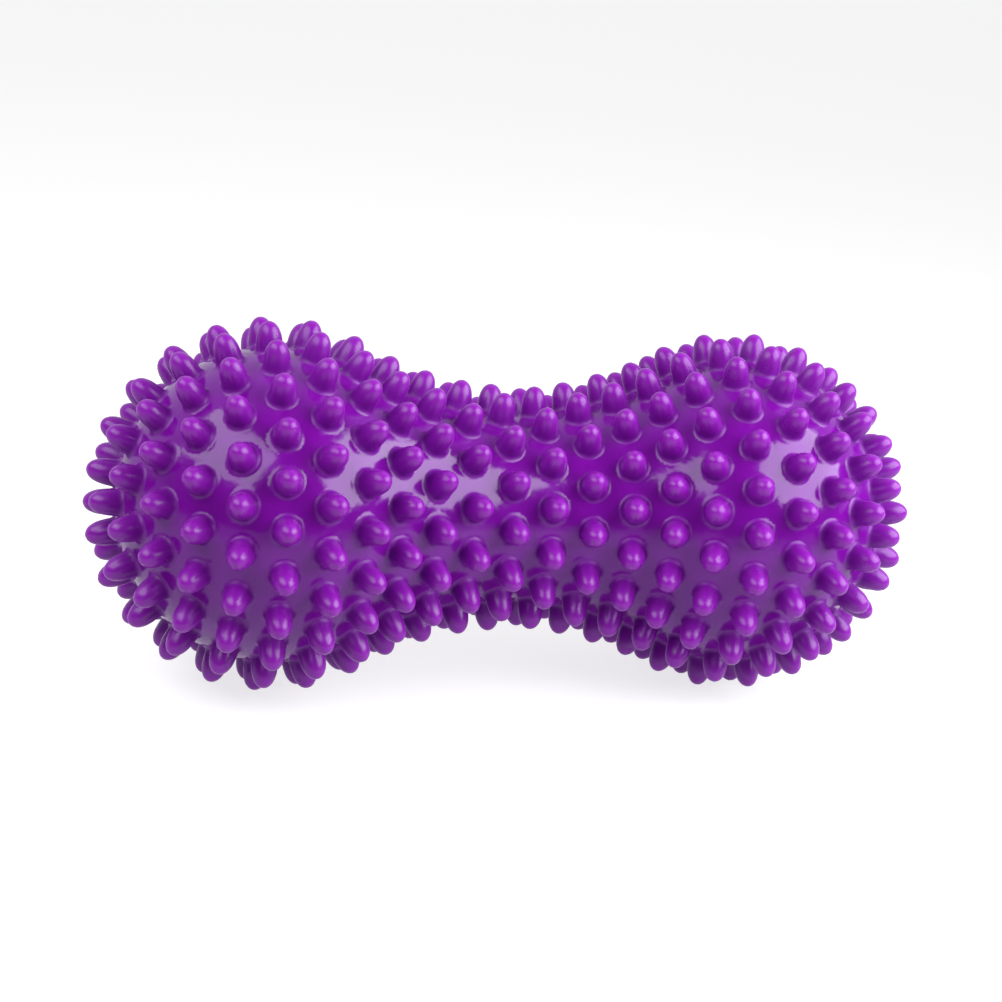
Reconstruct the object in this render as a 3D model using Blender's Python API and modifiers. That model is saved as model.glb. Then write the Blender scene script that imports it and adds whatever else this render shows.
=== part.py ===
"""Peanut-shaped spiky massage ball, inflated through a valve in one end.

Run with: blender --background --python part.py

The ball lies along +X with its centre at the origin and +Z up. Sizes are in millimetres and are
turned into metres where Blender needs them. The skin is one rotomoulded piece, spikes included.
The valve is at the +X end: a rubber bush pushed into the skin, and a stopper pushed into the bush.
"""

import math

import bmesh
import bpy
from mathutils import Matrix, Vector

MM = 0.001

# The skin's outline: two equal lobes, blended by one hollow curve that is tangent to both.
LOBE_RADIUS = 30.0
LOBE_SPACING = 93.0
WAIST_RADIUS = 18.3
WALL = 3.0

# Spikes: a blunt cone with a domed tip, rooted a little way into the wall.
SPIKE_HEIGHT = 6.1
SPIKE_BASE_RADIUS = 2.85
SPIKE_TIP_RADIUS = 2.1
SPIKE_DOME = 1.7
SPIKE_ROOT = 1.2
SPIKE_SIDES = 5

# The spikes stand in rings, evenly spaced along the outline from the valve end to the closed end. A
# ring holds as many spikes as fit at the spike pitch, and every second ring is turned by half a
# pitch, so the spikes are close to evenly spread.
RING_COUNT = 23
RING_PITCH = 7.85
VALVE_END_RING_ARC = 82.5
SPIKE_PITCH = 8.5
FIRST_SPIKE_ANGLE = 20.0

# The valve, as radii and as distances along X from the ball's centre.
PAD_RADIUS = 7.0
RECESS_RADIUS = 6.7
RECESS_DEPTH = 1.4
BOSS_RADIUS = 8.2
BOSS_DEPTH = 8.2
FIT_GAP = 0.3
SEAT_FLANGE_THICKNESS = 1.2
SEAT_BODY_RADIUS = 5.0
SEAT_BEAD_RADIUS = 6.1
SEAT_BEAD_LENGTH = 2.2
SEAT_EDGE_BEVEL = 0.3
BORE_RADIUS = 2.5
BORE_LEAD_IN = 0.4
PLUG_HEAD_RADIUS = 4.6
PLUG_HEAD_THICKNESS = 1.5
PLUG_HEAD_BEVEL = 0.5
PLUG_HEAD_BACK_BEVEL = 0.3
PLUG_STEM_LENGTH = 9.0
PLUG_GROOVES = (-3.0, -5.2)
PLUG_GROOVE_WIDTH = 1.0
PLUG_GROOVE_DEPTH = 0.3
PLUG_TAPER_LENGTH = 1.5
PLUG_TAPER_DEPTH = 0.7

# How finely the round pieces are divided.
OUTLINE_STEP = 12.0
SKIN_STEPS = 20
VALVE_STEPS = 24

# Worked out from the above.
HALF_SPACING = LOBE_SPACING / 2
WAIST_CURVE = (HALF_SPACING**2 + WAIST_RADIUS**2 - LOBE_RADIUS**2) / (2 * (LOBE_RADIUS - WAIST_RADIUS))
WAIST_TURN = math.asin(HALF_SPACING / (WAIST_CURVE + LOBE_RADIUS))
WAIST_ARC = WAIST_CURVE * WAIST_TURN
POLE_ARC = WAIST_ARC + LOBE_RADIUS * (math.pi / 2 + WAIST_TURN)
POLE_X = HALF_SPACING + LOBE_RADIUS
PAD_X = HALF_SPACING + math.sqrt(LOBE_RADIUS**2 - PAD_RADIUS**2)
RECESS_X = PAD_X - RECESS_DEPTH
BOSS_END_X = PAD_X - BOSS_DEPTH
SEAT_FACE_X = RECESS_X + FIT_GAP + SEAT_FLANGE_THICKNESS
PLUG_X = SEAT_FACE_X + FIT_GAP


def clear_scene():
    """Remove whatever the file opened with."""
    for old in list(bpy.data.objects):
        bpy.data.objects.remove(old, do_unlink=True)


def make_collection(name):
    """Add a collection to the scene."""
    collection = bpy.data.collections.new(name)
    bpy.context.scene.collection.children.link(collection)
    return collection


def make_material(name, colour, roughness):
    """Make a plain plastic or rubber material."""
    material = bpy.data.materials.new(name)
    material.use_nodes = True
    shader = material.node_tree.nodes["Principled BSDF"]
    shader.inputs["Base Color"].default_value = (*colour, 1.0)
    shader.inputs["Roughness"].default_value = roughness
    shader.inputs["Metallic"].default_value = 0.0
    return material


def outline_at(arc):
    """Find the outside of the skin at a distance along its outline from the waist.

    Gives the place along X, the radius, and how far the surface's normal leans towards +X.
    """
    side = math.copysign(1.0, arc)
    arc = abs(arc)
    if arc < WAIST_ARC:
        turn = arc / WAIST_CURVE
        x = WAIST_CURVE * math.sin(turn)
        radius = WAIST_RADIUS + WAIST_CURVE * (1 - math.cos(turn))
        lean = -turn
    else:
        lean = (arc - WAIST_ARC) / LOBE_RADIUS - WAIST_TURN
        x = HALF_SPACING + LOBE_RADIUS * math.sin(lean)
        radius = LOBE_RADIUS * math.cos(lean)
    return side * x, radius, side * lean


def outline_points(first_arc, last_arc, inset):
    """List points along the outline, moved into the wall by inset."""
    count = round(abs(last_arc - first_arc) / OUTLINE_STEP)
    points = []
    for i in range(count + 1):
        x, radius, lean = outline_at(first_arc + (last_arc - first_arc) * i / count)
        points.append((x - inset * math.sin(lean), radius - inset * math.cos(lean)))
    return points


def skin_profile():
    """Outline of the skin's wall, from the closed end's inside round to its outside."""
    pad_arc = POLE_ARC - LOBE_RADIUS * math.asin(PAD_RADIUS / LOBE_RADIUS)
    inner_radius = LOBE_RADIUS - WALL
    boss_arc = POLE_ARC - LOBE_RADIUS * math.asin(BOSS_RADIUS / inner_radius)
    hole_radius = SEAT_BODY_RADIUS + FIT_GAP
    outside = outline_points(-POLE_ARC, pad_arc, 0.0)
    valve_hole = [
        (PAD_X, RECESS_RADIUS),
        (RECESS_X, RECESS_RADIUS),
        (RECESS_X, hole_radius),
        (BOSS_END_X, hole_radius),
        (BOSS_END_X, BOSS_RADIUS),
    ]
    inside = outline_points(boss_arc, -POLE_ARC, WALL)
    outside[0] = (-POLE_X, 0.0)
    inside[-1] = (WALL - POLE_X, 0.0)
    return list(reversed(outside + valve_hole + inside))


def turned_object(name, profile, steps, collection, is_ring=False):
    """Turn a profile of (x, radius) points about the X axis. A ring's profile is a closed loop."""
    mesh = bpy.data.meshes.new(name)
    vertices = [(x * MM, radius * MM, 0.0) for x, radius in profile]
    edges = [(i, i + 1) for i in range(len(profile) - 1)]
    if is_ring:
        edges.append((len(profile) - 1, 0))
    mesh.from_pydata(vertices, edges, [])
    turned = bpy.data.objects.new(name, mesh)
    collection.objects.link(turned)
    screw = turned.modifiers.new("Turn", "SCREW")
    screw.axis = "X"
    screw.steps = steps
    screw.render_steps = steps
    screw.use_merge_vertices = True
    screw.merge_threshold = 0.00001
    screw.use_smooth_shade = True
    return turned


def spike_places():
    """List each spike's foot and the direction that it points in."""
    places = []
    for ring in range(RING_COUNT):
        x, radius, lean = outline_at(VALVE_END_RING_ARC - ring * RING_PITCH)
        count = round(2 * math.pi * radius / SPIKE_PITCH)
        for i in range(count):
            turn = i + 0.5 * (ring % 2)
            angle = math.radians(FIRST_SPIKE_ANGLE + 360.0 * turn / count)
            outward = Vector((0.0, -math.cos(angle), math.sin(angle)))
            foot = outward * radius + Vector((x, 0.0, 0.0))
            direction = outward * math.cos(lean) + Vector((math.sin(lean), 0.0, 0.0))
            places.append((foot, direction))
    return places


def add_spike(shape, foot, direction):
    """Add one spike to a bmesh: a blunt cone with a raised point on its end."""
    length = SPIKE_ROOT + SPIKE_HEIGHT - SPIKE_DOME
    middle = foot + direction * (length / 2 - SPIKE_ROOT)
    turn = direction.to_track_quat("Z", "Y").to_matrix().to_4x4()
    made = bmesh.ops.create_cone(
        shape,
        cap_ends=True,
        segments=SPIKE_SIDES,
        radius1=SPIKE_BASE_RADIUS * MM,
        radius2=SPIKE_TIP_RADIUS * MM,
        depth=length * MM,
        matrix=Matrix.Translation(middle * MM) @ turn,
    )
    faces = {face for vertex in made["verts"] for face in vertex.link_faces}
    cap = max(faces, key=lambda face: face.calc_center_median().dot(direction))
    bmesh.ops.poke(shape, faces=[cap], offset=SPIKE_DOME * MM)


def make_spikes(collection):
    """Build every spike in one object, ready to be joined to the skin."""
    shape = bmesh.new()
    for foot, direction in spike_places():
        add_spike(shape, foot, direction)
    mesh = bpy.data.meshes.new("spikes")
    shape.to_mesh(mesh)
    shape.free()
    spikes = bpy.data.objects.new("spikes", mesh)
    spikes.hide_render = True
    spikes.display_type = "WIRE"
    collection.objects.link(spikes)
    return spikes


def make_skin(collection, helpers, material):
    """Rotomoulded PVC skin: both lobes, the waist, the valve boss and all the spikes."""
    skin = turned_object("spiked_skin", skin_profile(), SKIN_STEPS, collection)
    join = skin.modifiers.new("Spikes", "BOOLEAN")
    join.operation = "UNION"
    join.solver = "EXACT"
    join.use_self = True
    join.object = make_spikes(helpers)
    skin.data.materials.append(material)
    return skin


def make_valve_seat(collection, material):
    """Rubber bush: a flange in the skin's recess, and a bead that grips behind the boss."""
    flange_radius = RECESS_RADIUS - FIT_GAP
    flange_back = -SEAT_FLANGE_THICKNESS
    bead_front = BOSS_END_X - FIT_GAP - SEAT_FACE_X
    bead_back = bead_front - SEAT_BEAD_LENGTH
    profile = [
        (0.0, BORE_RADIUS + BORE_LEAD_IN),
        (0.0, flange_radius - SEAT_EDGE_BEVEL),
        (-SEAT_EDGE_BEVEL, flange_radius),
        (flange_back, flange_radius),
        (flange_back, SEAT_BODY_RADIUS),
        (bead_front, SEAT_BODY_RADIUS),
        (bead_front, SEAT_BEAD_RADIUS),
        (bead_back, SEAT_BODY_RADIUS),
        (bead_back, BORE_RADIUS),
        (-BORE_LEAD_IN, BORE_RADIUS),
    ]
    seat = turned_object("valve_seat", profile, VALVE_STEPS, collection, is_ring=True)
    seat.location = (SEAT_FACE_X * MM, 0.0, 0.0)
    seat.data.materials.append(material)
    return seat


def make_valve_plug(collection, material):
    """Stopper: a flat head, and a stem with two shallow grooves and a tapered end."""
    stem_radius = BORE_RADIUS - FIT_GAP
    groove_radius = stem_radius - PLUG_GROOVE_DEPTH
    top = PLUG_HEAD_THICKNESS
    profile = [
        (top, 0.0),
        (top, PLUG_HEAD_RADIUS - PLUG_HEAD_BEVEL),
        (top - PLUG_HEAD_BEVEL, PLUG_HEAD_RADIUS),
        (PLUG_HEAD_BACK_BEVEL, PLUG_HEAD_RADIUS),
        (0.0, PLUG_HEAD_RADIUS - PLUG_HEAD_BACK_BEVEL),
        (0.0, stem_radius),
    ]
    for front in PLUG_GROOVES:
        back = front - PLUG_GROOVE_WIDTH
        profile += [
            (front, stem_radius),
            (front - PLUG_GROOVE_DEPTH, groove_radius),
            (back + PLUG_GROOVE_DEPTH, groove_radius),
            (back, stem_radius),
        ]
    profile += [
        (PLUG_TAPER_LENGTH - PLUG_STEM_LENGTH, stem_radius),
        (-PLUG_STEM_LENGTH, stem_radius - PLUG_TAPER_DEPTH),
        (-PLUG_STEM_LENGTH, 0.0),
    ]
    plug = turned_object("valve_plug", profile, VALVE_STEPS, collection)
    plug.location = (PLUG_X * MM, 0.0, 0.0)
    plug.data.materials.append(material)
    return plug


def main():
    """Build the massage ball."""
    clear_scene()
    pieces = make_collection("massage_ball")
    helpers = make_collection("helpers")
    purple = make_material("purple_pvc", (0.205, 0.018, 0.37), 0.28)
    rubber = make_material("milky_rubber", (0.62, 0.58, 0.66), 0.55)
    stopper = make_material("violet_stopper", (0.10, 0.012, 0.20), 0.4)
    make_skin(pieces, helpers, purple)
    make_valve_seat(pieces, rubber)
    make_valve_plug(pieces, stopper)


main()
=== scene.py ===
"""Looks of the spiky peanut-shaped massage ball: its PVC skin, its valve and the studio round it.

The skin is one moulding, so it is one piece of mesh. It is described by a distance field: three
tangent arcs turned about the X axis, with a blunt bullet for each spike melted into them. The
field is meshed once, and every vertex is then moved onto the exact surface.

Shapes are worked out in millimetres and turned into metres when a mesh is made.
"""

import math

import bmesh
import bpy
import numpy as np
from mathutils import Matrix, Vector


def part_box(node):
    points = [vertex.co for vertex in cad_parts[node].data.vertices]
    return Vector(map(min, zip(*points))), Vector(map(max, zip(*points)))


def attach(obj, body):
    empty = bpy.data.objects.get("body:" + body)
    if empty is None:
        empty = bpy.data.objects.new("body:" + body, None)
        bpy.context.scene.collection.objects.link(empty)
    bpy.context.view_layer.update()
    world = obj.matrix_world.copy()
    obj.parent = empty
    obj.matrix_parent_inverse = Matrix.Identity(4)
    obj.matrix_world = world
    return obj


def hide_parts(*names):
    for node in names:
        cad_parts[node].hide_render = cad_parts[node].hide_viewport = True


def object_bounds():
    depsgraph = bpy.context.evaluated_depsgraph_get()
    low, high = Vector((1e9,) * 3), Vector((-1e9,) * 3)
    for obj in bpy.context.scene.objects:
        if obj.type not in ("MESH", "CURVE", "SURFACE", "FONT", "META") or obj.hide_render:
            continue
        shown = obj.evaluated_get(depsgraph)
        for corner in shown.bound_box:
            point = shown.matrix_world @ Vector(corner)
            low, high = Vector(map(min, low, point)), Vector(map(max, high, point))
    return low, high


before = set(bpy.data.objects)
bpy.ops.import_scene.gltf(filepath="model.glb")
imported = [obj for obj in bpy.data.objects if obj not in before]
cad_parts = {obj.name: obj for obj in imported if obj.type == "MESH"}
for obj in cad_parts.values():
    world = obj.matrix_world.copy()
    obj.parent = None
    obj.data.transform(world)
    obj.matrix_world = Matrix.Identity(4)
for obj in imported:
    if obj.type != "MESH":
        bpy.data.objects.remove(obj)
cad_low, cad_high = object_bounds()

MM = 0.001

# The skin's outline and its spikes, as in the CAD.
LOBE_RADIUS = 30.0
LOBE_SPACING = 93.0
WAIST_RADIUS = 18.3
RING_COUNT = 23
RING_PITCH = 7.85
VALVE_END_RING_ARC = 82.5
SPIKE_PITCH = 8.5
FIRST_SPIKE_ANGLE = 20.0

# A spike is a bullet: nearly straight at its foot, and drawn in to a round tip.
SPIKE_HEIGHT = 5.9
SPIKE_FOOT_RADIUS = 2.55
SPIKE_TAPER = 0.02
SPIKE_BLUNTNESS = 3.2
SPIKE_FILLET = 0.9
SPIKE_CREASE = 0.4
SPIKE_REACH = 8.5

# The small differences between spikes that moulding leaves.
MOULDING_SEED = 11
SPIKE_TILT_SPREAD = 0.012
SPIKE_HEIGHT_SPREAD = 0.12

# The valve's recess in the +X end.
RECESS_RADIUS = 6.7
RECESS_FLOOR_X = 74.27
RECESS_EDGE = 0.5
BOSS_RADIUS = 8.2
BOSS_END_X = 67.47
HOLE_RADIUS = 5.3
HOLE_OVERRUN = 1.0
WALL = 3.0
HOLLOW_START_X = 55.0

# The valve's own pieces. Their faces stand just inside the CAD's.
TURNED_STEPS = 96
FACE_INSET = 0.02
FIT_GAP = 0.3
BORE_RADIUS = 2.5
PLUG_HEAD_RADIUS = 4.6
PLUG_HEAD_THICKNESS = 1.5
PLUG_HEAD_BEVEL = 0.5
PLUG_HEAD_BACK_BEVEL = 0.35
PLUG_DISH_DEPTH = 0.45
PLUG_DISH_RADIUS = 2.4
PLUG_RIM_INNER_RADIUS = 3.1
PLUG_RIM_OUTER_RADIUS = 4.05
PLUG_STEM_LENGTH = 9.0
PLUG_GROOVES = (-3.0, -5.2)
PLUG_GROOVE_WIDTH = 1.0
PLUG_GROOVE_DEPTH = 0.3
PLUG_TAPER_LENGTH = 1.5
PLUG_TAPER_DEPTH = 0.7
PLUG_ROUNDING = 0.16
PLUG_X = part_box("valve_plug")[1].x / MM - PLUG_HEAD_THICKNESS
SEAT_FACE_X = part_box("valve_seat")[1].x / MM
SEAT_FLANGE_RADIUS = 6.4
SEAT_FLANGE_THICKNESS = 1.2
SEAT_BODY_RADIUS = 5.0
SEAT_BEAD_RADIUS = 6.1
SEAT_BEAD_LENGTH = 2.2
SEAT_BEAD_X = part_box("valve_seat")[0].x / MM + SEAT_BEAD_LENGTH - SEAT_FACE_X
SEAT_MID_BORE_X = -2.0
SEAT_LEAD_IN_DEPTH = 0.5
SEAT_LEAD_IN_WIDTH = 0.45
SEAT_FACE_DROP = 0.1
SEAT_GROOVE_INNER_RADIUS = 4.0
SEAT_GROOVE_OUTER_RADIUS = 4.8
SEAT_GROOVE_DEPTH = 0.35
SEAT_GROOVE_SLOPE = 0.3
SEAT_EDGE_BEVEL = 0.35
SEAT_ROUNDING = 0.18

# The colours, and what is added to the roughness of the PVC at shares of a spike's height.
SHELL_COLOUR = (0.132, 0.0023, 0.229, 1)
# Painted light: the spikes' colour is the shell's PVC made lighter, standing in for the light that the
# spikes catch.
SPIKE_PAINTED_LIGHT_COLOUR = (0.188, 0.0072, 0.303, 1)
BUSH_COLOUR = (0.40, 0.375, 0.43)
STOPPER_COLOUR = (0.075, 0.009, 0.15)
EXTRA_ROUGHNESS = ((0.0, 0.0), (0.02, 0.3), (0.14, 0.34), (0.32, 0.17), (0.95, 0.17))

# The view: turned and lifted from square on, in degrees, and its distance in metres.
CAMERA_YAW = 17.0
CAMERA_LIFT = 20.0
CAMERA_ROLL = 6.7
CAMERA_DISTANCE = 0.438
CAMERA_LENS = 80.0
CAMERA_SHIFT = (-0.0058, 0.006)
FLOOR_SIZE = 6.0

# The skin's mesh: the size of a grid cell, and a distance that stands for far from the surface.
CELL = 0.6
FAR = 50.0

HALF_SPACING = LOBE_SPACING / 2
WAIST_CURVE = (HALF_SPACING**2 + WAIST_RADIUS**2 - LOBE_RADIUS**2) / (2 * (LOBE_RADIUS - WAIST_RADIUS))
WAIST_TURN = math.asin(HALF_SPACING / (WAIST_CURVE + LOBE_RADIUS))
WAIST_ARC = WAIST_CURVE * WAIST_TURN
WAIST_CENTRE = WAIST_RADIUS + WAIST_CURVE


# ---------------------------------------------------------------- the skin's shape


def outline_at(arc):
    """Place along X, radius and lean of the skin's outline, at a distance from the waist."""
    side = math.copysign(1.0, arc)
    arc = abs(arc)
    if arc < WAIST_ARC:
        turn = arc / WAIST_CURVE
        x = WAIST_CURVE * math.sin(turn)
        radius = WAIST_RADIUS + WAIST_CURVE * (1 - math.cos(turn))
        lean = -turn
    else:
        lean = (arc - WAIST_ARC) / LOBE_RADIUS - WAIST_TURN
        x = HALF_SPACING + LOBE_RADIUS * math.sin(lean)
        radius = LOBE_RADIUS * math.cos(lean)
    return side * x, radius, side * lean


def make_spike_list():
    """Foot, direction and height of each spike, with the small differences that moulding leaves."""
    chance = np.random.default_rng(MOULDING_SEED)
    spikes = []
    for ring in range(RING_COUNT):
        x, radius, lean = outline_at(VALVE_END_RING_ARC - ring * RING_PITCH)
        count = round(2 * math.pi * radius / SPIKE_PITCH)
        for i in range(count):
            turn = i + 0.5 * (ring % 2)
            angle = math.radians(FIRST_SPIKE_ANGLE + 360.0 * turn / count)
            outward = np.array((0.0, -math.cos(angle), math.sin(angle)))
            foot = outward * radius + np.array((x, 0.0, 0.0))
            along = outward * math.cos(lean) + np.array((math.sin(lean), 0.0, 0.0))
            along = along + chance.normal(0.0, SPIKE_TILT_SPREAD, 3)
            along /= np.linalg.norm(along)
            height = SPIKE_HEIGHT - abs(chance.normal(0.0, SPIKE_HEIGHT_SPREAD))
            spikes.append((foot, along, height))
    return spikes


def smooth_min(a, b, width):
    """The smaller of two distances, rounded over where they are nearly equal."""
    near = np.maximum(width - np.abs(a - b), 0.0) / width
    return np.minimum(a, b) - near * near * width / 4


def shell_distance(points):
    """Signed distance to the skin without its spikes."""
    x = np.abs(points[:, 0])
    radius = np.hypot(points[:, 1], points[:, 2])
    lobe = np.hypot(x - HALF_SPACING, radius) - LOBE_RADIUS
    waist = WAIST_CURVE - np.hypot(x, WAIST_CENTRE - radius)
    in_waist = x * math.cos(WAIST_TURN) < (WAIST_CENTRE - radius) * math.sin(WAIST_TURN)
    return np.where(in_waist, waist, lobe)


def spike_distance(points, foot, along, height):
    """Signed distance, good near the surface, to one spike: a blunt bullet.

    Its outline is (out / width)^2 + (up / height)^bluntness = 1, where the width tapers with up.
    """
    offset = points - foot
    up = offset @ along
    out = np.sqrt(np.maximum((offset * offset).sum(axis=1) - up * up, 0.0))
    up = np.maximum(up, 0.0)
    width = SPIKE_FOOT_RADIUS - SPIKE_TAPER * np.minimum(up, height)
    across = (out / width) ** 2
    rise = (up / height) ** SPIKE_BLUNTNESS
    level = np.sqrt(across + rise)
    slope_out = 2 * across / np.maximum(out, 1e-6)
    slope_up = 2 * across * SPIKE_TAPER / width + SPIKE_BLUNTNESS * rise / np.maximum(up, 1e-6)
    slope = np.hypot(slope_out, slope_up) / np.maximum(2 * level, 1e-6)
    return (level - 1.0) / np.maximum(slope, 0.1)


def removed_distance(points):
    """Signed distance to the recess, the hole through the boss, and the hollow that it opens on."""
    x = points[:, 0]
    radius = np.hypot(points[:, 1], points[:, 2])
    boss = np.maximum(radius - BOSS_RADIUS, BOSS_END_X - x)
    hollow = np.maximum(np.maximum(shell_distance(points) + WALL, -boss), HOLLOW_START_X - x)
    hole = np.maximum(radius - HOLE_RADIUS, BOSS_END_X - HOLE_OVERRUN - x)
    recess = np.maximum(radius - RECESS_RADIUS, RECESS_FLOOR_X - x)
    return np.minimum(np.minimum(hollow, hole), recess)


def skin_distance(points, spikes):
    """Signed distance to the whole skin, and how much of each point belongs to a spike."""
    order = np.argsort(points[:, 0], kind="stable")
    ordered = points[order]
    nearest = np.full(len(points), FAR)
    for foot, along, height in spikes:
        first, last = np.searchsorted(ordered[:, 0], (foot[0] - SPIKE_REACH, foot[0] + SPIKE_REACH))
        part = ordered[first:last]
        close = first + np.flatnonzero(
            (np.abs(part[:, 1] - foot[1]) < SPIKE_REACH) & (np.abs(part[:, 2] - foot[2]) < SPIKE_REACH)
        )
        one = spike_distance(ordered[close], foot, along, height)
        nearest[close] = smooth_min(nearest[close], one, SPIKE_CREASE)
    spiked = np.empty(len(points))
    spiked[order] = nearest
    whole = smooth_min(shell_distance(points), spiked, SPIKE_FILLET)
    return -smooth_min(-whole, removed_distance(points), RECESS_EDGE)


def settle_corners(values, cell):
    """Fill a corner wherever a grid square is inside at two opposite corners only.

    Such a square would join four faces on one edge. They lie in the creases round the spikes.
    """
    for _ in range(20):
        settled = True
        for one, two in ((0, 1), (0, 2), (1, 2)):
            inside = values < 0
            squares = []
            for step_one, step_two in ((0, 0), (1, 0), (1, 1), (0, 1)):
                part = [slice(None)] * 3
                part[one] = slice(step_one, step_one - 1 or None)
                part[two] = slice(step_two, step_two - 1 or None)
                squares.append(inside[tuple(part)])
            first, second, third, fourth = squares
            rising = first & third & ~second & ~fourth
            falling = second & fourth & ~first & ~third
            for doubtful, step in ((rising, 1), (falling, 0)):
                corner = np.argwhere(doubtful)
                corner[:, one] += step
                values[tuple(corner.T)] = -0.01 * cell
                settled = settled and not len(corner)
        if settled:
            return


def surface_nets(low, high, cell, distance):
    """Mesh the zero surface of a distance: a vertex in each crossed cell, a quad round each edge."""
    axes = [np.arange(a - cell, b + 2 * cell, cell) for a, b in zip(low, high)]
    shape = tuple(len(axis) for axis in axes)
    grid = np.stack(np.meshgrid(*axes, indexing="ij"), axis=-1).reshape(-1, 3)
    shell = shell_distance(grid)
    near_inside = (shell > -3 * cell) | (grid[:, 0] > HOLLOW_START_X - 3 * cell)
    band = np.flatnonzero(near_inside & (shell < SPIKE_HEIGHT + 3 * cell))
    values = np.where(shell > 0, FAR, -FAR)
    values[band] = distance(grid[band])
    values = values.reshape(shape)
    settle_corners(values, cell)
    inside = values < 0
    cells = tuple(n - 1 for n in shape)
    total = np.zeros(cells + (3,))
    count = np.zeros(cells)
    crossings = []
    for axis in range(3):
        here = [slice(None)] * 3
        there = [slice(None)] * 3
        here[axis], there[axis] = slice(0, -1), slice(1, None)
        here, there = tuple(here), tuple(there)
        crossed = inside[here] != inside[there]
        index = np.argwhere(crossed)
        start, end = values[here][crossed], values[there][crossed]
        where = index.astype(float)
        where[:, axis] += start / (start - end)
        one, two = [k for k in range(3) if k != axis]
        for step_one in (0, 1):
            for step_two in (0, 1):
                cell_at = index.copy()
                cell_at[:, one] -= step_one
                cell_at[:, two] -= step_two
                np.add.at(total, tuple(cell_at.T), where)
                np.add.at(count, tuple(cell_at.T), 1)
        crossings.append((axis, one, two, index, inside[here][crossed]))
    used = count > 0
    number = np.full(cells, -1)
    number[used] = np.arange(used.sum())
    vertices = total[used] / count[used][:, None] * cell + [axis[0] for axis in axes]
    quads = []
    for axis, one, two, index, starts_inside in crossings:
        corners = []
        for step_one, step_two in ((1, 1), (0, 1), (0, 0), (1, 0)):
            cell_at = index.copy()
            cell_at[:, one] -= step_one
            cell_at[:, two] -= step_two
            corners.append(number[tuple(cell_at.T)])
        quad = np.stack(corners, axis=1)
        flip = starts_inside == (axis == 1)
        quad[flip] = quad[flip][:, ::-1]
        quads.append(quad)
    return vertices, np.concatenate(quads)


def gradient(points, distance):
    """Direction in which a distance grows fastest, at each point."""
    step = 0.02
    slopes = []
    for axis in range(3):
        shift = np.zeros(3)
        shift[axis] = step
        slopes.append(distance(points + shift) - distance(points - shift))
    slopes = np.stack(slopes, axis=1)
    return slopes / np.maximum(np.linalg.norm(slopes, axis=1, keepdims=True), 1e-9)


def make_skin():
    """The PVC skin as one closed mesh, with each vertex's height above the shell kept on it."""
    spikes = make_spike_list()

    def distance(points):
        return skin_distance(points, spikes)

    reach = LOBE_RADIUS + SPIKE_HEIGHT
    low = np.array((-HALF_SPACING - reach, -reach, -reach))
    vertices, quads = surface_nets(low, -low, CELL, distance)
    for _ in range(3):
        vertices = vertices - gradient(vertices, distance) * distance(vertices)[:, None]
    mesh = bpy.data.meshes.new("massage_ball_skin")
    mesh.from_pydata((vertices * MM).tolist(), [], quads.tolist())
    mesh.shade_smooth()
    height = mesh.attributes.new("spike_height", "FLOAT", "POINT")
    share = np.clip(shell_distance(vertices) / SPIKE_HEIGHT, 0, 1)
    height.data.foreach_set("value", share.astype(np.float32))
    mesh.normals_split_custom_set_from_vertices(gradient(vertices, distance).tolist())
    skin = bpy.data.objects.new("massage_ball_skin", mesh)
    bpy.context.scene.collection.objects.link(skin)
    return skin


# ---------------------------------------------------------------- the valve's shape


def rounded(corners, radius, steps=5):
    """An outline of (x, radius) corners with each inner corner rounded by a small curve."""
    points = [np.array(corners[0], dtype=float)]
    for before, corner, after in zip(corners, corners[1:], corners[2:]):
        corner = np.array(corner, dtype=float)
        to_before, to_after = np.array(before) - corner, np.array(after) - corner
        room = min(radius, 0.45 * np.linalg.norm(to_before), 0.45 * np.linalg.norm(to_after))
        start = corner + to_before / np.linalg.norm(to_before) * room
        end = corner + to_after / np.linalg.norm(to_after) * room
        for i in range(steps + 1):
            t = i / steps
            points.append((1 - t) ** 2 * start + 2 * t * (1 - t) * corner + t * t * end)
    points.append(np.array(corners[-1], dtype=float))
    return points


def turned_piece(name, outline, origin_x):
    """A piece turned about the X axis from its outline, whose two ends lie on the axis or meet."""
    shape = bmesh.new()
    is_ring = np.allclose(outline[0], outline[-1])
    rows = []
    for x, radius in outline[:-1] if is_ring else outline:
        turns = [2 * math.pi * i / TURNED_STEPS for i in range(TURNED_STEPS if radius > 1e-6 else 1)]
        rows.append([
            shape.verts.new(((origin_x + x) * MM, -radius * math.cos(t) * MM, radius * math.sin(t) * MM))
            for t in turns
        ])
    pairs = list(zip(rows, rows[1:] + rows[:1])) if is_ring else list(zip(rows, rows[1:]))
    for one, two in pairs:
        for i in range(TURNED_STEPS):
            j = (i + 1) % TURNED_STEPS
            if len(one) == 1:
                shape.faces.new((one[0], two[j], two[i]))
            elif len(two) == 1:
                shape.faces.new((one[i], one[j], two[0]))
            else:
                shape.faces.new((one[i], one[j], two[j], two[i]))
    bmesh.ops.recalc_face_normals(shape, faces=shape.faces)
    mesh = bpy.data.meshes.new(name)
    shape.to_mesh(mesh)
    shape.free()
    mesh.shade_smooth()
    mesh.set_sharp_from_angle(angle=math.radians(50.0))
    piece = bpy.data.objects.new(name, mesh)
    bpy.context.scene.collection.objects.link(piece)
    return piece


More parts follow.
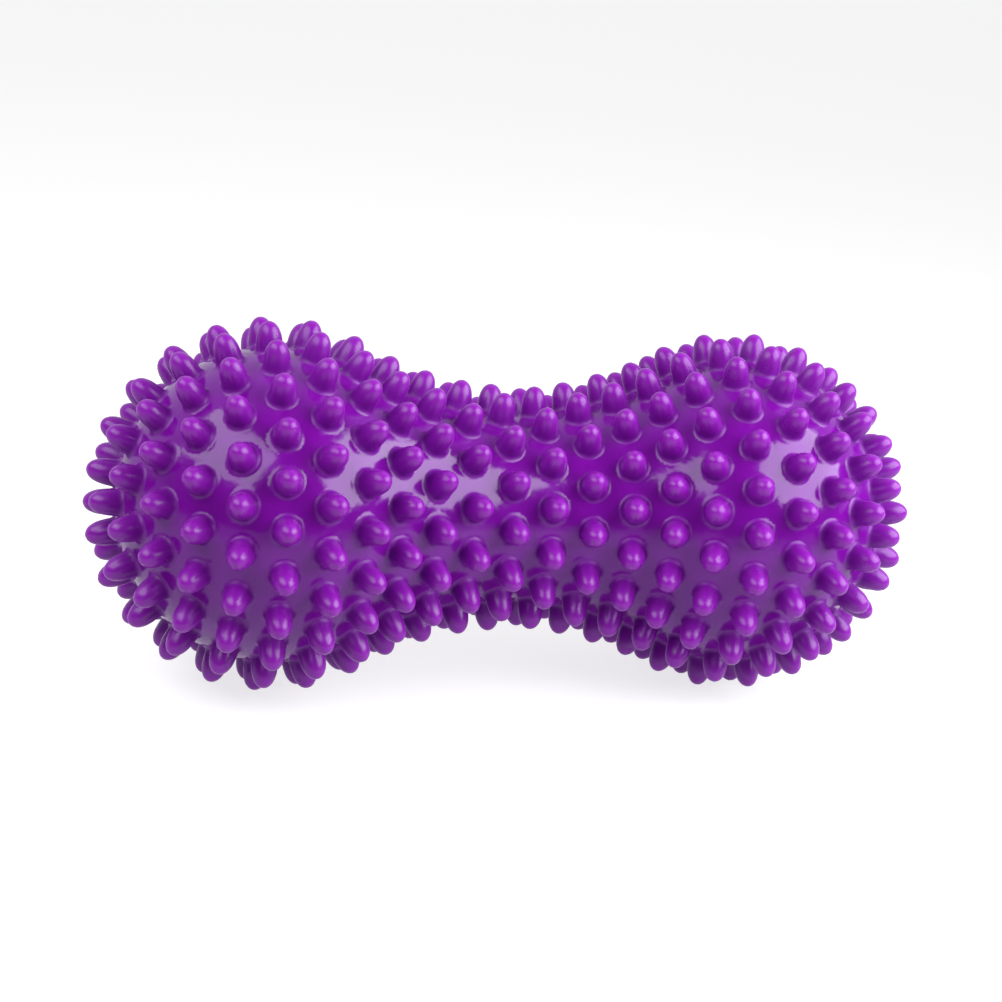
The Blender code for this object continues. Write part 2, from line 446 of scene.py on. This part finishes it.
def make_valve_seat():
    """The soft bush: a flange with a raised sealing lip, a bored body and a bead behind the boss."""
    flange = SEAT_FLANGE_RADIUS - FACE_INSET
    bead_end = SEAT_BEAD_X - SEAT_BEAD_LENGTH
    corners = [
        (SEAT_MID_BORE_X, BORE_RADIUS),
        (-SEAT_LEAD_IN_DEPTH, BORE_RADIUS),
        (-SEAT_FACE_DROP, BORE_RADIUS + SEAT_LEAD_IN_WIDTH),
        (-SEAT_FACE_DROP, SEAT_GROOVE_INNER_RADIUS - SEAT_GROOVE_SLOPE),
        (-SEAT_GROOVE_DEPTH, SEAT_GROOVE_INNER_RADIUS),
        (-SEAT_GROOVE_DEPTH, SEAT_GROOVE_OUTER_RADIUS),
        (-FACE_INSET, SEAT_GROOVE_OUTER_RADIUS + SEAT_GROOVE_SLOPE),
        (-FACE_INSET, SEAT_FLANGE_RADIUS - SEAT_EDGE_BEVEL),
        (-SEAT_EDGE_BEVEL, flange),
        (-SEAT_FLANGE_THICKNESS, flange),
        (-SEAT_FLANGE_THICKNESS, SEAT_BODY_RADIUS),
        (SEAT_BEAD_X, SEAT_BODY_RADIUS),
        (SEAT_BEAD_X, SEAT_BEAD_RADIUS),
        (bead_end, SEAT_BODY_RADIUS),
        (bead_end, BORE_RADIUS),
        (SEAT_MID_BORE_X, BORE_RADIUS),
    ]
    return turned_piece("valve_bush", rounded(corners, SEAT_ROUNDING), SEAT_FACE_X)


def make_valve_plug():
    """The stopper: a dished head with a rolled rim, and a stem with two sealing grooves."""
    stem = BORE_RADIUS - FIT_GAP
    groove = stem - PLUG_GROOVE_DEPTH
    head = PLUG_HEAD_RADIUS - FACE_INSET
    top = PLUG_HEAD_THICKNESS
    corners = [
        (top - PLUG_DISH_DEPTH, 0.0),
        (top - PLUG_DISH_DEPTH, PLUG_DISH_RADIUS),
        (top - FACE_INSET, PLUG_RIM_INNER_RADIUS),
        (top - FACE_INSET, PLUG_RIM_OUTER_RADIUS),
        (top - PLUG_HEAD_BEVEL, head),
        (PLUG_HEAD_BACK_BEVEL, head),
        (FACE_INSET, PLUG_HEAD_RADIUS - PLUG_HEAD_BACK_BEVEL),
        (FACE_INSET, stem),
    ]
    for front in PLUG_GROOVES:
        back = front - PLUG_GROOVE_WIDTH
        corners += [
            (front, stem),
            (front - PLUG_GROOVE_DEPTH, groove),
            (back + PLUG_GROOVE_DEPTH, groove),
            (back, stem),
        ]
    corners += [
        (PLUG_TAPER_LENGTH - PLUG_STEM_LENGTH, stem),
        (-PLUG_STEM_LENGTH, stem - PLUG_TAPER_DEPTH),
        (-PLUG_STEM_LENGTH, 0.0),
    ]
    return turned_piece("valve_stopper", rounded(corners, PLUG_ROUNDING), PLUG_X)


# ---------------------------------------------------------------- materials


def start_material(name):
    """A new material, its shader, and a function that adds a node to it."""
    material = bpy.data.materials.new(name)
    material.use_nodes = True
    tree = material.node_tree
    shader = tree.nodes["Principled BSDF"]

    def add(kind, **settings):
        node = tree.nodes.new(kind)
        for key, value in settings.items():
            if key in node.inputs:
                node.inputs[key].default_value = value
            else:
                setattr(node, key, value)
        return node

    return material, tree, shader, add


def fill_ramp(ramp, stops):
    """Give a ramp of two stops the stops listed, each a position and a colour."""
    elements = ramp.elements
    elements[0].position, elements[0].color = stops[0]
    elements[1].position, elements[1].color = stops[-1]
    for position, colour in stops[1:-1]:
        elements.new(position).color = colour


def pvc_material():
    """Glossy purple PVC: dyed through, a little cloudy, with a skin like fine orange peel.

    The shell is glossiest. The roots of the spikes are the dullest, and the spikes lie between. Up each
    spike the colour turns lighter than the shell's, which is painted light on the spikes.
    """
    material, tree, shader, add = start_material("purple_pvc_skin")
    link = tree.links.new
    point = add("ShaderNodeTexCoord")
    height = add("ShaderNodeAttribute", attribute_name="spike_height")

    # Painted light: from the shell up each spike, the colour ramps to a lighter copy of the same PVC.
    colour = add("ShaderNodeValToRGB")
    fill_ramp(colour.color_ramp, ((0.02, SHELL_COLOUR), (0.9, SPIKE_PAINTED_LIGHT_COLOUR)))
    link(height.outputs["Fac"], colour.inputs["Fac"])

    cloud = add("ShaderNodeTexNoise", Scale=38.0, Detail=3.0)
    link(point.outputs["Object"], cloud.inputs["Vector"])
    cloud_range = add("ShaderNodeMapRange")
    cloud_range.inputs["To Min"].default_value = 0.90
    cloud_range.inputs["To Max"].default_value = 1.10
    link(cloud.outputs["Fac"], cloud_range.inputs["Value"])
    tint = add("ShaderNodeHueSaturation")
    link(colour.outputs["Color"], tint.inputs["Color"])
    link(cloud_range.outputs["Result"], tint.inputs["Value"])
    link(tint.outputs["Color"], shader.inputs["Base Color"])

    smear = add("ShaderNodeTexNoise", Scale=160.0, Detail=4.0, Roughness=0.6)
    link(point.outputs["Object"], smear.inputs["Vector"])
    rough_shell = add("ShaderNodeMapRange")
    rough_shell.inputs["To Min"].default_value = 0.07
    rough_shell.inputs["To Max"].default_value = 0.16
    link(smear.outputs["Fac"], rough_shell.inputs["Value"])
    extra = add("ShaderNodeValToRGB")
    fill_ramp(extra.color_ramp, [(place, (more, more, more, 1.0)) for place, more in EXTRA_ROUGHNESS])
    link(height.outputs["Fac"], extra.inputs["Fac"])
    rough = add("ShaderNodeMath", operation="ADD")
    link(extra.outputs["Color"], rough.inputs[0])
    link(rough_shell.outputs["Result"], rough.inputs[1])
    link(rough.outputs["Value"], shader.inputs["Roughness"])

    peel = add("ShaderNodeTexNoise", Scale=420.0, Detail=2.0)
    link(point.outputs["Object"], peel.inputs["Vector"])
    bump = add("ShaderNodeBump", Strength=0.12, Distance=0.0004)
    link(peel.outputs["Fac"], bump.inputs["Height"])
    link(bump.outputs["Normal"], shader.inputs["Normal"])

    shader.inputs["Subsurface Weight"].default_value = 0.12
    shader.inputs["Subsurface Radius"].default_value = (1.0, 0.15, 1.2)
    shader.inputs["Subsurface Scale"].default_value = 0.0015
    shader.inputs["IOR"].default_value = 1.38
    return material


def plain_material(name, colour, roughness, grain):
    """A plain moulded rubber or plastic, with a fine grain in its surface."""
    material, tree, shader, add = start_material(name)
    link = tree.links.new
    point = add("ShaderNodeTexCoord")
    noise = add("ShaderNodeTexNoise", Scale=900.0, Detail=3.0)
    link(point.outputs["Object"], noise.inputs["Vector"])
    value = add("ShaderNodeMapRange")
    value.inputs["To Min"].default_value = 0.92
    value.inputs["To Max"].default_value = 1.08
    link(noise.outputs["Fac"], value.inputs["Value"])
    tint = add("ShaderNodeHueSaturation", Color=(*colour, 1.0))
    link(value.outputs["Result"], tint.inputs["Value"])
    link(tint.outputs["Color"], shader.inputs["Base Color"])
    bump = add("ShaderNodeBump", Strength=grain, Distance=0.0002)
    link(noise.outputs["Fac"], bump.inputs["Height"])
    link(bump.outputs["Normal"], shader.inputs["Normal"])
    shader.inputs["Roughness"].default_value = roughness
    return material


# ---------------------------------------------------------------- studio


def floor_material():
    """Matt white card, lit from below so that it stays pale to its edges.

    Seen directly it is near white. It lights the ball, and shows in its gloss, less strongly.
    """
    material = plain_material("studio_card", (0.36, 0.36, 0.365), 0.8, 0.02)
    tree = material.node_tree
    shader = tree.nodes["Principled BSDF"]
    shader.inputs["Emission Color"].default_value = (1.0, 1.0, 1.0, 1.0)
    seen = tree.nodes.new("ShaderNodeLightPath")
    glow = tree.nodes.new("ShaderNodeMapRange")
    glow.inputs["To Min"].default_value = 0.48
    glow.inputs["To Max"].default_value = 0.74
    tree.links.new(seen.outputs["Is Camera Ray"], glow.inputs["Value"])
    tree.links.new(glow.outputs["Result"], shader.inputs["Emission Strength"])
    return material


def make_floor():
    """A wide pale floor under the ball."""
    bpy.ops.mesh.primitive_plane_add(size=FLOOR_SIZE, location=(0.0, 0.0, cad_low.z))
    floor = bpy.context.object
    floor.name = "studio_floor"
    floor.data.materials.append(floor_material())


def add_softbox(name, azimuth, elevation, distance, size, power):
    """A soft rectangular light aimed at the ball. Azimuth 0 is at the front, 90 at +X."""
    turn = math.radians(azimuth)
    lift = math.radians(elevation)
    towards = Vector((math.sin(turn) * math.cos(lift), -math.cos(turn) * math.cos(lift), math.sin(lift)))
    data = bpy.data.lights.new(name, "AREA")
    data.shape = "RECTANGLE"
    data.size, data.size_y = size
    data.energy = power
    light = bpy.data.objects.new(name, data)
    light.location = towards * distance
    light.rotation_euler = towards.to_track_quat("Z", "Y").to_euler()
    bpy.context.scene.collection.objects.link(light)


def make_world():
    """A room that is dim at the front and overhead, and paler behind the ball.

    It lights the ball and shows in its gloss. Seen directly, it is one plain pale backdrop.
    """
    world = bpy.data.worlds.new("studio")
    bpy.context.scene.world = world
    world.use_nodes = True
    tree = world.node_tree
    direction = tree.nodes.new("ShaderNodeTexCoord")
    parts = tree.nodes.new("ShaderNodeSeparateXYZ")
    tree.links.new(direction.outputs["Generated"], parts.inputs["Vector"])
    wall = tree.nodes.new("ShaderNodeMapRange")
    wall.interpolation_type = "SMOOTHSTEP"
    wall.inputs["From Min"].default_value = -0.25
    wall.inputs["From Max"].default_value = 0.65
    wall.inputs["To Min"].default_value = 0.07
    wall.inputs["To Max"].default_value = 0.80
    tree.links.new(parts.outputs["Y"], wall.inputs["Value"])
    room = tree.nodes["Background"]
    room.inputs["Color"].default_value = (1.0, 1.0, 1.0, 1.0)
    tree.links.new(wall.outputs["Result"], room.inputs["Strength"])
    backdrop = tree.nodes.new("ShaderNodeBackground")
    backdrop.inputs["Color"].default_value = (0.87, 0.87, 0.875, 1.0)
    seen = tree.nodes.new("ShaderNodeLightPath")
    choice = tree.nodes.new("ShaderNodeMixShader")
    tree.links.new(seen.outputs["Is Camera Ray"], choice.inputs["Fac"])
    tree.links.new(room.outputs["Background"], choice.inputs[1])
    tree.links.new(backdrop.outputs["Background"], choice.inputs[2])
    tree.links.new(choice.outputs["Shader"], tree.nodes["World Output"].inputs["Surface"])


def make_camera():
    """The main view, from a little above and to the left of square on."""
    yaw, lift, roll = (math.radians(turn) for turn in (CAMERA_YAW, CAMERA_LIFT, CAMERA_ROLL))
    back = Vector((-math.sin(yaw) * math.cos(lift), -math.cos(yaw) * math.cos(lift), math.sin(lift)))
    data = bpy.data.cameras.new("camera")
    data.lens = CAMERA_LENS
    data.sensor_width = 36.0
    data.shift_x, data.shift_y = CAMERA_SHIFT
    camera = bpy.data.objects.new("camera", data)
    look = (-back).to_track_quat("-Z", "Y").to_matrix().to_4x4()
    camera.matrix_world = Matrix.Translation(back * CAMERA_DISTANCE) @ look @ Matrix.Rotation(roll, 4, "Z")
    bpy.context.scene.collection.objects.link(camera)
    bpy.context.scene.camera = camera


# ---------------------------------------------------------------- put together

skin = make_skin()
skin.data.materials.append(pvc_material())
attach(skin, "ball")
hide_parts("spiked_skin")

for piece, body, node, slot, material in (
    (make_valve_seat(), "ball", "valve_seat", "milky_rubber",
     plain_material("milky_rubber_bush", BUSH_COLOUR, 0.5, 0.1)),
    (make_valve_plug(), "plug", "valve_plug", "violet_stopper",
     plain_material("violet_stopper_plastic", STOPPER_COLOUR, 0.4, 0.1)),
):
    piece.data.materials.append(material)
    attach(piece, body)
    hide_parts(node)

make_floor()
make_world()
add_softbox("left_softbox", azimuth=-66.0, elevation=44.0, distance=0.35, size=(0.38, 0.20), power=1.20)
add_softbox("right_softbox", azimuth=58.0, elevation=36.0, distance=0.31, size=(0.34, 0.25), power=2.15)
make_camera()
bpy.context.scene.view_settings.view_transform = "Standard"
